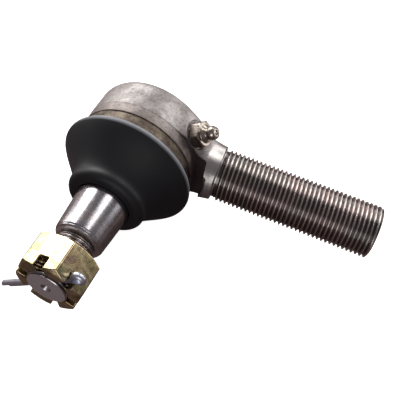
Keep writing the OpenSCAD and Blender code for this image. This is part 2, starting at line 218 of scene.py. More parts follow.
# %% Distance helpers
def join(a, b, radius):
    """Union with a fillet: where both distances are below the radius, the distance to its circle."""
    near_a, near_b = np.maximum(radius - a, 0), np.maximum(radius - b, 0)
    return np.maximum(radius, np.minimum(a, b)) - np.hypot(near_a, near_b)


def common(a, b, radius):
    """Intersection with a rounded edge: a union of the two outsides, seen from the other side."""
    return -join(-a, -b, radius)


def carve(distance, low, high, cell):
    """Points, faces and normals of the surface where distance is zero, sampled every cell mm."""
    axes = [np.arange(a, b + cell, cell) for a, b in zip(low, high)]
    samples = distance(np.stack(np.meshgrid(*axes, indexing="ij"), -1))
    grid = openvdb.FloatGrid()
    grid.copyFromArray(samples.astype(np.float32))
    points, faces = grid.convertToQuads(isovalue=0.0)
    points = points * cell + np.array(low)
    reach = 0.01
    for walk in range(4):
        slope = np.stack([distance(points + reach * way) - distance(points - reach * way)
                          for way in np.eye(3)], -1) / (2 * reach)
        steep = np.maximum((slope**2).sum(-1, keepdims=True), 0.05)
        if walk < 3:
            points = points - np.clip(distance(points)[:, None] * slope / steep, -cell / 2, cell / 2)
    return points, faces, slope / np.sqrt(steep)


# %% [markdown]
# ## The forged head
# The head is drop-forged with its neck in one piece, shot-blasted, and then machined only where it
# has to be: the socket, a turned land at the front that the boot sits on, a ring cut that clears
# the neck and boss away from the boot, the port, and the neck next to the thread. So the blank is
# joined with generous fillets first, and the machining is cut out of it afterwards.

# %% Head sizes
HEAD_R = 29.0
HEAD_BACK = 15.0
HEAD_FRONT = 18.5
LAND_R = 28.3
LAND_START = 8.8
SHOULDER = 15.6
SEAT_R = 26.0
RING_FLOOR = 3.5
RING_R = 35.0
NECK_R = 13.3
NECK_FLARE = 3.8
NECK_END = 38.5
FLARE_LEN = 16.0
THREAD_R = 12.7
THREAD_PITCH = 2.117
THREAD_DEPTH = 0.6134 * THREAD_PITCH
THREAD_START = 40.3
SHANK_END = 116.8
BOSS_R = 7.5
PORT_FACE = 30.2
PORT_R = 4.8
PORT_DEPTH = 8.2
BORE_R = 20.875
EDGE_ROUND = 0.45


def shank_and_boss(p):
    """Distance to the flared neck, with its back cut flush with the head's, joined to the boss."""
    q = on_axis(p, SHANK)
    around, along = np.hypot(q[..., 0], q[..., 1]), q[..., 2]
    flare = NECK_FLARE * np.clip((NECK_END - along) / FLARE_LEN, 0, 1) ** 1.3
    neck = (around - NECK_R - flare) * 0.95
    behind = -HEAD_BACK - 0.16 * np.maximum(np.hypot(p[..., 0], p[..., 2]) - (HEAD_R - 2), 0) + p[..., 1]
    neck = common(common(neck, behind, 4.0), along - NECK_END, 0.4)
    stem = common(around - (THREAD_R - THREAD_DEPTH - 0.1), along - THREAD_START - 0.4, 0.3)
    neck = np.maximum(np.minimum(neck, stem), 5 - along)
    w = on_axis(p, PORT)
    boss = np.hypot(w[..., 0], w[..., 1]) - BOSS_R - 0.34 * np.maximum(PORT_FACE - 0.8 - w[..., 2], 0)
    boss = common(boss * 0.94, w[..., 2] - PORT_FACE, 1.1)
    return join(neck, np.maximum(boss, 6 - w[..., 2]), 3.0)


def head_distance(p):
    """Distance to the machined head: rounded drum with neck and boss, less everything machined."""
    rho, s = np.hypot(p[..., 0], p[..., 2]), -p[..., 1]
    drum = common(rho - HEAD_R, -HEAD_BACK - s, 6.0)
    arms = shank_and_boss(p)
    blank = join(drum, arms, 3.5)
    ring = common(rho - RING_R, RING_FLOOR - s, EDGE_ROUND)
    outside = rho - HEAD_R
    blank = common(blank, -common(ring, -outside, EDGE_ROUND), 0.35)
    land = common(LAND_R - rho, LAND_START - s, 0.3)
    blank = common(blank, -np.maximum(land, rho - RING_R - 1), 0.35)
    blank = common(blank, s - HEAD_FRONT, 0.5)
    blank = np.maximum(blank, -np.maximum(SEAT_R - rho, SHOULDER - s))
    lip = common(rho - 20.5, s + 12.6, 0.3)
    recess = np.maximum(rho - 23.73, np.maximum(-12.75 - s, s + 10.35))
    bore = np.maximum(rho - BORE_R, s)
    cone = np.maximum((rho - BORE_R + 0.52 * s) * 0.88, s - 7.05)
    mouth = np.maximum((rho - 15.2 - 0.5 * (s - 7.0)) * 0.89, 7.0 - s)
    socket = np.minimum(np.minimum(lip, recess), np.minimum(np.minimum(bore, cone), mouth))
    w = on_axis(p, PORT)
    around, out = np.hypot(w[..., 0], w[..., 1]), w[..., 2]
    chamfer = (around - PORT_R - 0.7 + (PORT_FACE - out)) * 0.7
    hole = np.maximum(np.minimum(around - PORT_R, chamfer), PORT_FACE - PORT_DEPTH - out)
    hole = np.minimum(hole, np.maximum(around - 2.0, 15 - out))
    spot = np.maximum(around - BOSS_R + 0.8, PORT_FACE - out)
    return common(blank, -np.minimum(np.minimum(socket, hole), spot), 0.3)


points, faces, normals = carve(head_distance, (-30.5, -19.5, -30.5), (42.5, 19.5, 33.0), 0.45)
make_piece("housing_forging", points, faces, "head", ["housing"], normals=normals)

# %% [markdown]
# ## The shank
# The shank is turned from the same forging and its thread is cut or rolled, bright against the
# blasted head. It starts under the neck, in the runout groove where the two pieces meet out of
# sight, and ends in a chamfered face with the centre hole that the lathe's tailstock ran in.

# %% Shank
SHANK_SIDES = 144
core = THREAD_R - THREAD_DEPTH
stem = [[0, THREAD_START - 1.2], [core, THREAD_START - 1.2], [core, THREAD_START - 0.6]]
end_face = soften([[core - 0.1, SHANK_END], [2.6, SHANK_END],
                   [0.5, SHANK_END - 3.4], [0, SHANK_END - 3.6]], 0.5)
shank = np.vstack([turned(stem, SHANK_SIDES),
                   thread_rows(THREAD_R, THREAD_DEPTH, THREAD_PITCH, THREAD_START - 0.3, SHANK_END,
                               SHANK_SIDES, 0.9),
                   turned(end_face, SHANK_SIDES)])
spun_piece("housing_shank_thread", shank, SHANK, "head", "housing", sharp=62)

# %% [markdown]
# ## The end cap
# Behind the ball a pressed steel cap closes the socket, and the head's lip is rolled over its rim.
# A pressed part has no sharp edge anywhere, so its outline is a few straight lines with each
# corner rounded by about the sheet's own thickness, spun round the stud's axis.

# %% End cap
CAP_SIDES = 144
cap_outside = [[0, -17.7], [11.68, -17.7], [16.68, -12.65], [23.68, -12.65]]
cap_inside = [[23.68, -10.45], [15.88, -10.45], [10.88, -15.5], [0, -15.5]]
cap_outline = soften(cap_outside + cap_inside, [2.2, 1.6, 0.3, 0.3, 1.2, 1.6])
cap = turned(cap_outline, CAP_SIDES)
spun_piece("end_cap_pressing", cap, STUD, "head", "end_cap")

# %% [markdown]
# ## The ball stud
# The stud is one piece of alloy steel: a polished ball in the socket, a neck, a ground taper that
# wedges into the steering arm, a short undercut with the last turning marks, and the nut's thread.
# Its outline is spun like the cap's, and the thread's sheared rows carry on from it, so the whole
# stud stays one closed shell. The cross hole for the cotter pin is drilled with a Boolean, because
# a hole across a thread is no surface of revolution.

# %% Stud
BALL_R = 15.875
TAPER_END = 61.5
TAPER_START = 31.0
TAPER_SMALL_R = 11.5
TAPER_SLOPE = 0.0625
TAPER_BIG_R = TAPER_SMALL_R + TAPER_SLOPE * (TAPER_END - TAPER_START)
STUD_R = 9.525
STUD_PITCH = 1.5875
STUD_DEPTH = 0.6134 * STUD_PITCH
STUD_THREAD = 64.1
STUD_END = 88.4
STUD_SIDES = 144
NUT_TURN = math.radians(46)
PIN_AT = 84.15

BALL_FLAT = -7.13
first_angle = math.degrees(math.asin(BALL_FLAT / BALL_R))
ball_angle = np.radians(np.linspace(first_angle, 47, 48))
ball_part = np.stack([BALL_R * np.cos(ball_angle), BALL_R * np.sin(ball_angle)], -1)
t = np.linspace(0, 1, 24)[:, None]
taper_top = [TAPER_BIG_R, TAPER_START]
neck_part = (1 - t) ** 2 * [10.5, 16.0] + 2 * t * (1 - t) * [10.4, 27.0] + t**2 * taper_top
undercut = soften([taper_top, [TAPER_SMALL_R, TAPER_END], [TAPER_SMALL_R - 0.35, TAPER_END + 0.25],
                   [TAPER_SMALL_R - 0.35, TAPER_END + 0.7], [10.6, TAPER_END + 1.4],
                   [STUD_R - STUD_DEPTH, TAPER_END + 1.7], [STUD_R - STUD_DEPTH, STUD_THREAD - 0.3]],
                  [0.5, 0.15, 0.3, 0.3, 0.3])
pocket = soften([[0, BALL_FLAT + 3], [3, BALL_FLAT + 3], [3, BALL_FLAT], [ball_part[0, 0], BALL_FLAT]], 0.3)
tip = soften([[STUD_R - STUD_DEPTH, STUD_END], [2.3, STUD_END],
              [0.5, STUD_END - 2.4], [0, STUD_END - 2.5]], 0.4)
stud = np.vstack([turned(np.vstack([pocket, ball_part, neck_part, undercut]), STUD_SIDES),
                  thread_rows(STUD_R, STUD_DEPTH, STUD_PITCH, STUD_THREAD, STUD_END, STUD_SIDES, 0.55),
                  turned(tip, STUD_SIDES)])
stud_piece = spun_piece("ball_stud_ground", stud, STUD, "stud", "ball_stud", sharp=62)

# %% Cross hole
PIN_AXIS = axis_frame((-math.sin(NUT_TURN), 0, math.cos(NUT_TURN)), (0, -1, 0),
                      (math.cos(NUT_TURN), 0, math.sin(NUT_TURN)), (0, -PIN_AT, 0))
drill = turned([[0, -15], [1.95, -15], [1.95, 15], [0, 15]], 32)
drill_piece = make_piece("drill", put(drill.reshape(-1, 3), PIN_AXIS), grid_faces(len(drill), 33), "stud")
drill_piece.modifiers.clear()
stud_piece.modifiers.clear()
hole = stud_piece.modifiers.new("cross hole", "BOOLEAN")
hole.operation = "DIFFERENCE"
hole.object = drill_piece
drilled = bpy.data.meshes.new_from_object(stud_piece.evaluated_get(bpy.context.evaluated_depsgraph_get()))
stud_piece.modifiers.clear()
stud_piece.data = drilled
drilled.set_sharp_from_angle(angle=math.radians(62))
stud_piece.modifiers.new("weighted", "WEIGHTED_NORMAL").keep_sharp = True
bpy.data.objects.remove(drill_piece)
print("stud after drilling:", len(drilled.polygons), "faces")

# %% [markdown]
# ## The springs
# Two springs give way when their joints move: the disc spring behind the bearing, a cone of spring
# steel, and the small coil behind the check ball. The disc is spun from its section. The coil is a
# round wire swept along a helix, with its last turn at each end pressed flat.

# %% Springs
DISC_FRONT, DISC_BACK, DISC_R = -11.9, -15.45, 12.475
disc_outline = soften([[5.64, -14.6], [5.64, -14.25], [11.28, DISC_FRONT], [DISC_R, DISC_FRONT],
                       [DISC_R, DISC_FRONT - 1.2], [6.24, DISC_BACK], [5.64, -14.95], [5.64, -14.6]], 0.15)
disc = turned(disc_outline, 96)
disc_piece = spun_piece("disc_spring_steel", disc, STUD, "head", "disc_spring", sharp=50)
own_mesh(disc_piece)

COIL_BOTTOM, COIL_LEN, WIRE_R, COIL_R = 34.26, 5.42, 0.2, 1.08
turn_angle = np.linspace(0, 2 * np.pi * 7, 7 * 24 + 1)
climb = np.interp(turn_angle / (2 * np.pi), [0, 0.9, 6.1, 7],
                  [0, 2.1 * WIRE_R, COIL_LEN - 4.1 * WIRE_R, COIL_LEN - 2 * WIRE_R])
wire_angle = np.linspace(0, 2 * np.pi, 11)
reach = COIL_R + WIRE_R * np.cos(wire_angle)[None, :]
coil = np.stack([reach * np.cos(turn_angle)[:, None], reach * np.sin(turn_angle)[:, None],
                 COIL_BOTTOM + WIRE_R + climb[:, None] + WIRE_R * np.sin(wire_angle)[None, :]], -1)
ends = [np.repeat(row.mean(0)[None, :], 11, 0)[None] for row in (coil[0, :-1], coil[-1, :-1])]
coil = np.concatenate([ends[0], coil, ends[1]])
coil_piece = spun_piece("check_spring_coil", coil, PORT, "fitting", "check_spring", sharp=60)
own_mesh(coil_piece)

# %% [markdown]
# ## The dust boot
# The boot is moulded in black rubber round two steel rings: a wide rim that bulges over the head's
# shoulder, a side that draws in slightly, and a thick lip that hugs the stud's taper. It is spun
# from one closed outline with an outer and an inner wall. Rubber has to follow the stud when it
# tilts; this shell is taken off its body and fixed in the frame.

# %% Boot
BOOT_SIDES = 192
RIM_R, RIM_AT, RIM_ROUND = 29.8, 17.8, 2.4
LIP_R, LIP_AT, LIP_ROUND = 15.7, 37.0, 3.3


def arc(centre, radius, first, last, count):
    """Points on a circle round a centre, from one angle to the other, in degrees."""
    angle = np.radians(np.linspace(first, last, count))
    return np.array(centre) + radius * np.stack([np.cos(angle), np.sin(angle)], -1)


rim = arc((RIM_R, RIM_AT), RIM_ROUND, -52, 36, 16)
lip = arc((LIP_R, LIP_AT), LIP_ROUND, -8, 80, 18)
t = np.linspace(0, 1, 42)[1:-1, None]
rim_way = np.array([-math.sin(math.radians(36)), math.cos(math.radians(36))]) * 21
lip_way = np.array([-math.sin(math.radians(-8)), math.cos(math.radians(-8))]) * 13
side = ((1 + 2 * t) * (1 - t) ** 2 * rim[-1] + t * (1 - t) ** 2 * rim_way
        + t**2 * (3 - 2 * t) * lip[0] + t**2 * (t - 1) * lip_way)
outer = np.vstack([[[27.25, 15.95], [29.9, 15.82]], rim, side, lip])
inner_side = side[::-1] + [-2.2, -1.9]
inner = np.vstack([[[16.0, 40.3], [13.2, 40.2], [13.1, 38.9], [14.15, 38.55], [14.35, 34.3], [14.7, 33.6]],
                   inner_side[4:-6], [[27.22, 18.9], [27.22, 16.1]]])
boot_outline = np.vstack([outer, inner, outer[:1]])
boot = turned(boot_outline, BOOT_SIDES)
boot_piece = spun_piece("dust_boot_rubber", boot, STUD, "boot", "dust_boot", sharp=50)
boot_piece.parent = None
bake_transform(boot_piece)

# %% [markdown]
# ## The slotted nut
# The nut is cold-formed from hexagon bar: chamfered corners, six slots sawn across the top for the
# pin, and a tapped hole. Seven planes and two cones meet on it, and every edge is slightly
# rounded under the plating, which is what makes its edges glint. Stated as a distance, each edge
# gets its round for free, so the nut is carved as the head was, on a finer grid.

# %% Nut
NUT_FACE = 70.4
NUT_END = 87.8
NUT_FLATS = 28.575
SLOT_W = 4.4
SLOT_D = 5.7


def nut_distance(p):
    """Distance to a hexagon with coned ends, less the slots and the tapped hole."""
    x, y, s = p[..., 0], p[..., 2], -p[..., 1]
    angle = np.arctan2(y, x)
    rho = np.hypot(x, y)
    turn = (angle - NUT_TURN + np.pi / 6) % (np.pi / 3) - np.pi / 6
    across, sideways = rho * np.cos(turn), rho * np.sin(turn)
    flat = across - NUT_FLATS / 2
    next_flat = rho * np.cos(np.pi / 3 - np.abs(turn)) - NUT_FLATS / 2
    hexagon = common(flat, next_flat, 0.5)
    slab = np.maximum(NUT_FACE - s, s - NUT_END)
    cone = (rho - NUT_FLATS / 2 + 0.25) * 0.5 + 0.866 * np.maximum(s - NUT_END, NUT_FACE - s)
    body = common(common(hexagon, slab, 0.3), cone, 0.3)
    slot = common(np.abs(sideways) - SLOT_W / 2, NUT_END - SLOT_D - s, 0.35)
    slot = np.maximum(slot, 4 - rho)
    bore = thread_radius((s - STUD_THREAD) / STUD_PITCH - angle / (2 * np.pi), STUD_R, STUD_DEPTH)
    mouth = STUD_R + 0.6 - 0.9 * np.minimum(s - NUT_FACE, NUT_END - s)
    hole = (rho - np.maximum(bore + 0.12, mouth)) * 0.62
    return common(common(body, -slot, 0.3), -hole, 0.2)


points, faces, normals = carve(nut_distance, (-17.2, -89.0, -17.2), (17.2, -67.6, 17.2), 0.3)
make_piece("slotted_nut_plated", points, faces, "stud", ["slotted_nut"], normals=normals)

# %% [markdown]
# ## The cotter pin
# A cotter pin is half-round wire folded in two, flat side to flat side, so that the fold stands out
# as an open eye. The wire is a half circle swept along the fold: two straight legs, one longer for
# a grip, and a ring between them, with the sharp turns into the ring eased by averaging each
# point with its neighbours.

# %% Cotter pin
PIN_R = 1.55
PIN_EYE = 1.9
EYE_START = NUT_FLATS / 2 + 0.8
EYE_AT = EYE_START + PIN_EYE + PIN_R * 0.9
LONG_LEG = 50.8
SHORT_LEG = 45.8
PIN_GAP = 0.06

eye = arc((EYE_AT, 0), PIN_EYE, 140, -140, 60)
fold = np.vstack([[[EYE_START - LONG_LEG, PIN_GAP], [EYE_START - 1.2, PIN_GAP]], eye,
                  [[EYE_START - 1.2, -PIN_GAP], [EYE_START - SHORT_LEG, -PIN_GAP]]])
length = np.concatenate([[0], np.cumsum(np.linalg.norm(np.diff(fold, axis=0), axis=1))])
even = np.linspace(0, length[-1], 700)
fold = np.stack([np.interp(even, length, fold[:, k]) for k in (0, 1)], -1)
for _ in range(12):
    fold[1:-1] = (fold[:-2] + 2 * fold[1:-1] + fold[2:]) / 4
fold = fold[np.unique(np.concatenate([[0, 8], np.arange(20, 300, 28), np.arange(300, 400, 1),
                                      np.arange(400, 680, 28), [691, 699]]))]
way = np.gradient(fold, axis=0)
way /= np.linalg.norm(way, axis=1, keepdims=True)
outward = np.stack([-way[:, 1], way[:, 0]], -1)
around = np.radians(np.linspace(-90, 90, 21))
half_circle = np.stack([np.cos(around), np.sin(around)], -1)
half_round = np.vstack([half_circle, [[0, 0.5], [0, -0.5], [0, -1]]]) * PIN_R
half_round = soften(half_round, 0.18, 3)[1:]
half_round = np.vstack([half_round, half_round[:1]])
blunt = np.ones(len(fold))
blunt[[0, -1]] = 0.55
ring = (fold[:, None, :] + outward[:, None, :] * (half_round[None, :, :1] * blunt[:, None, None]))
swept = np.concatenate([ring, half_round[None, :, 1:] * blunt[:, None, None] + 0 * ring[..., :1]], -1)
caps = [np.repeat(row.mean(0)[None, :], len(half_round), 0)[None] for row in (swept[0], swept[-1])]
pin = np.concatenate([caps[0], swept, caps[1]])
pin = pin[..., [1, 2, 0]]
spun_piece("cotter_pin_wire", pin, PIN_AXIS, "pin", "cotter_pin", sharp=40)

# %% [markdown]
# ## The grease fitting
# All of it is one outline spun round the port's axis, whose radius is held under a hexagon's at
# the wrench flats: a hexagon is a circle whose radius swings six times a turn.

# %% Fitting
FIT_SIDES = 180
FIT_FACE = PORT_FACE + 0.5
FIT_TIP = FIT_FACE + 11.2
FIT_FLATS = 11.1
STEM_R = PORT_R - 0.08
CHECK_AT = FIT_TIP - 1.45
FIT_BORE = 1.4
HEX_H = 5.0

stem_s = np.arange(PORT_FACE - PORT_DEPTH + 1.0, FIT_FACE - 0.9, 0.11)
stem = np.stack([np.full_like(stem_s, STEM_R), stem_s], -1)
head_ball = arc((0, FIT_TIP - 2.3), 3.3, -18, 36, 18)
fit_outline = np.vstack([
    soften([[FIT_BORE, PORT_FACE - PORT_DEPTH + 0.45], [STEM_R - 0.7, PORT_FACE - PORT_DEPTH + 0.45],
            [STEM_R, PORT_FACE - PORT_DEPTH + 1.0]], 0.2),
    stem[1:-1],
    soften([[STEM_R - 0.7, FIT_FACE - 0.6], [STEM_R - 0.7, FIT_FACE], [FIT_FLATS / 2 - 0.1, FIT_FACE],
            [6.5, FIT_FACE + 0.65], [6.5, FIT_FACE + HEX_H - 0.65], [FIT_FLATS / 2 - 0.1, FIT_FACE + HEX_H],
            [4.2, FIT_FACE + HEX_H], [4.1, FIT_FACE + HEX_H + 0.3],
            [2.6, FIT_TIP - 4.6], [2.6, FIT_TIP - 3.9]],
           [0.2, 0.2, 0.25, 0.25, 0.25, 0.25, 0.2, 0.3]),
    head_ball,
    soften([[1.9, FIT_TIP], [1.15, FIT_TIP], [1.0, FIT_TIP - 0.3], [1.0, CHECK_AT + 0.9],
            [FIT_BORE, CHECK_AT],
            [FIT_BORE, PORT_FACE - PORT_DEPTH + 0.45]], 0.12)])
fit = turned(fit_outline, FIT_SIDES)
fit_angle = np.linspace(0, 2 * np.pi, FIT_SIDES + 1)[None, :]
fit_r, fit_s = np.hypot(fit[..., 0], fit[..., 1]), fit[..., 2]
from_flat = fit_angle % (np.pi / 3) - np.pi / 6
hexagon_r = np.minimum(FIT_FLATS / 2 / np.cos(from_flat), 6.32)
in_thread = (fit_s > stem_s[0] + 0.2) & (fit_s < stem_s[-1] - 0.1) & (fit_r > STEM_R - 0.3)
threaded = thread_radius(fit_s / 0.94 - fit_angle / (2 * np.pi), STEM_R, 0.45)
in_hexagon = (fit_s > FIT_FACE - 0.01) & (fit_s < FIT_FACE + HEX_H + 0.01) & (fit_r > 4.5)
new_r = np.where(in_thread, threaded, np.where(in_hexagon, np.minimum(fit_r, hexagon_r), fit_r))
fit[..., :2] *= (new_r / np.maximum(fit_r, 1e-6))[..., None]
spun_piece("grease_fitting_turned", fit, PORT, "fitting", "grease_fitting", sharp=30)

# %% [markdown]
# ## Finishes
# Each finish starts from what the real surface is. Colours are picked as sRGB hex values and
# turned to the linear numbers that light adds up in. One function adds a node with its settings
# and links. A pattern's scale is one over its real size, because object coordinates are metres.

# %% Colour and node helpers
def colour(hex_value):
    """Linear RGBA from an sRGB hex value: ((c + 0.055) / 1.055) ^ 2.4 above the short straight part."""
    parts = [int(hex_value[i:i + 2], 16) / 255 for i in (1, 3, 5)]
    return [c / 12.92 if c <= 0.04045 else ((c + 0.055) / 1.055) ** 2.4 for c in parts] + [1.0]


def add(tree, kind, inputs=(), **settings):
    """Adds a node. Settings are its own choices; inputs gives each socket a value or an output to link."""
    made = tree.nodes.new("ShaderNode" + kind)
    for setting, value in settings.items():
        setattr(made, setting, value)
    for socket, value in dict(inputs).items():
        if isinstance(value, bpy.types.NodeSocket):
            tree.links.new(value, made.inputs[socket])
        else:
            made.inputs[socket].default_value = value
    return made


def new_finish(name, **constants):
    """A material with a Principled shader whose plain numbers are set on its own sockets."""
    material = bpy.data.materials.new(name)
    material.use_nodes = True
    tree = material.node_tree
    shader = tree.nodes["Principled BSDF"]
    for socket, value in constants.items():
        shader.inputs[socket.replace("_", " ")].default_value = value
    place = add(tree, "TexCoord").outputs["Object"]
    return material, tree, shader, place


def per_mm(size):
    """Noise scale that makes one feature about size mm wide in object coordinates."""
    return 1000.0 / size


def finish_piece(material, *names):
    """Puts one material on pieces or frame nodes."""
    for name in names:
        slots = bpy.data.objects[name].data.materials
        slots.clear()
        slots.append(material)
    print(material.name, "->", ", ".join(names))


# %% [markdown]
# ### Shot-blasted forging
# Blasting leaves a forging a dull light grey with a fine, even peening. This one has been handled:
# oil has browned it in soft clouds, most of all on the turned land by the boot, and darker specks
# of scale sit in the pits. So three noises of different size mix four greys and browns, the land is
# found by its place along the stud, and the peening is a bump about a millimetre across.

# %% Forged steel
forged, tree, shader, place = new_finish("shot_blasted_forged_steel", Metallic=0.9)
where = add(tree, "SeparateXYZ", {0: place}).outputs
cloud = add(tree, "TexNoise",
            {"Vector": place, "Scale": per_mm(11), "Detail": 4.0, "Roughness": 0.6}).outputs[0]
cloud_step = add(tree, "ValToRGB", {0: cloud})
cloud_step.color_ramp.elements[0].position = 0.36
cloud_step.color_ramp.elements[1].position = 0.66
cloud_step.color_ramp.elements[0].color = colour("#908a87")
cloud_step.color_ramp.elements[1].color = colour("#b1acaa")
speck = add(tree, "TexNoise",
            {"Vector": place, "Scale": per_mm(1.1), "Detail": 3.0, "Roughness": 0.7}).outputs[0]
speck_mask = add(tree, "MapRange", {0: speck, 1: 0.47, 2: 0.66, 3: 0.0, 4: 0.5}).outputs[0]
blotch = add(tree, "TexNoise", {"Vector": place, "Scale": per_mm(5), "Detail": 2.0}).outputs[0]
blotch_mask = add(tree, "MapRange", {0: blotch, 1: 0.55, 2: 0.72, 3: 0.0, 4: 0.45}).outputs[0]
oiled = add(tree, "Mix", {0: blotch_mask, 6: cloud_step.outputs[0], 7: colour("#776c66")},
            data_type="RGBA").outputs[2]
specked = add(tree, "Mix", {0: speck_mask, 6: oiled, 7: colour("#564c47")}, data_type="RGBA").outputs[2]
# the land lies from 8.8 mm in front of the ball's centre, so y below -8.8 mm, within 28.6 mm of the axis
flat_place = add(tree, "VectorMath", {0: place, 1: (1, 0, 1)}, operation="MULTIPLY").outputs[0]
from_axis = add(tree, "VectorMath", {0: flat_place}, operation="LENGTH").outputs["Value"]
in_reach = add(tree, "MapRange", {0: from_axis, 1: 0.0292, 2: 0.0287, 3: 0.0, 4: 1.0}).outputs[0]
in_front = add(tree, "MapRange", {0: where[1], 1: -0.0086, 2: -0.0090, 3: 0.0, 4: 1.0}).outputs[0]
land_part = add(tree, "Math", {0: in_front, 1: in_reach}, operation="MULTIPLY").outputs[0]
land_noise = add(tree, "ValToRGB", {0: blotch})
land_noise.color_ramp.elements[0].position = 0.35
land_noise.color_ramp.elements[1].position = 0.65
land_noise.color_ramp.elements[0].color = colour("#4f453d")
land_noise.color_ramp.elements[1].color = colour("#7d7164")
land_speck = add(tree, "Mix", {0: speck_mask, 6: land_noise.outputs[0], 7: colour("#2c2622")},
                 data_type="RGBA").outputs[2]
# brown also creeps a few millimetres up the blasted side from the land
creep = add(tree, "MapRange", {0: where[1], 1: -0.002, 2: -0.0088, 3: 0.0, 4: 0.9}).outputs[0]
creep_cloud = add(tree, "Math", {0: creep, 1: cloud}, operation="MULTIPLY").outputs[0]
browned = add(tree, "Mix", {0: creep_cloud, 6: specked, 7: colour("#6f6152")}, data_type="RGBA").outputs[2]
skin = add(tree, "Mix", {0: land_part, 6: browned, 7: land_speck}, data_type="RGBA").outputs[2]
# painted shade: the ring cut's flat face, 3.5 mm in front and out to 35 mm, is painted dark maroon for the
# shade in its recess by the boot, and past it the neck is bright
in_cut = add(tree, "MapRange", {0: where[1], 1: -0.0031, 2: -0.0035, 3: 0.0, 4: 1.0}).outputs[0]
past_head = add(tree, "MapRange", {0: from_axis, 1: 0.0288, 2: 0.0292, 3: 0.0, 4: 0.85}).outputs[0]
cut_shade_part = add(tree, "Math", {0: in_cut, 1: past_head}, operation="MULTIPLY").outputs[0]
neck_part = add(tree, "MapRange", {0: from_axis, 1: 0.0346, 2: 0.0354, 3: 0.0, 4: 1.0}).outputs[0]
cut_face_painted_shade = add(tree, "Mix", {0: cut_shade_part, 6: skin, 7: colour("#4e3d3d")}, data_type="RGBA").outputs[2]
bright = add(tree, "Mix", {0: speck_mask, 6: colour("#aeaaa6"), 7: colour("#8b8680")},
             data_type="RGBA").outputs[2]
whole = add(tree, "Mix", {0: neck_part, 6: cut_face_painted_shade, 7: bright}, data_type="RGBA").outputs[2]
tree.links.new(whole, shader.inputs["Base Color"])
blasted_rough = add(tree, "MapRange", {0: cloud, 1: 0.3, 2: 0.7, 3: 0.62, 4: 0.5}).outputs[0]
rough = add(tree, "Mix", {0: neck_part, 2: blasted_rough, 3: 0.3}).outputs[0]
tree.links.new(rough, shader.inputs["Roughness"])
peen = add(tree, "TexNoise",
           {"Vector": place, "Scale": per_mm(0.9), "Detail": 3.0, "Roughness": 0.65}).outputs[0]
dents = add(tree, "TexNoise", {"Vector": place, "Scale": per_mm(4), "Detail": 1.0}).outputs[0]
relief = add(tree, "Math", {0: dents, 1: 2.5, 2: peen}, operation="MULTIPLY_ADD").outputs[0]
depth = add(tree, "MapRange", {0: neck_part, 1: 0.0, 2: 1.0, 3: 0.55, 4: 0.1}).outputs[0]
bump = add(tree, "Bump", {"Height": relief, "Strength": depth, "Distance": 0.0002})
tree.links.new(bump.outputs[0], shader.inputs["Normal"])
finish_piece(forged, "housing_forging")

# %% [markdown]
# ### Turned and ground steel
# The shank's thread and the stud share one bright steel. A lathe leaves fine rings round the axis,
# far finer than shows, so they are drawn about 0.4 mm apart as a faint swing in roughness. A film
# of oil turns patches slightly pink or green, and a few dark stains sit near the boot.

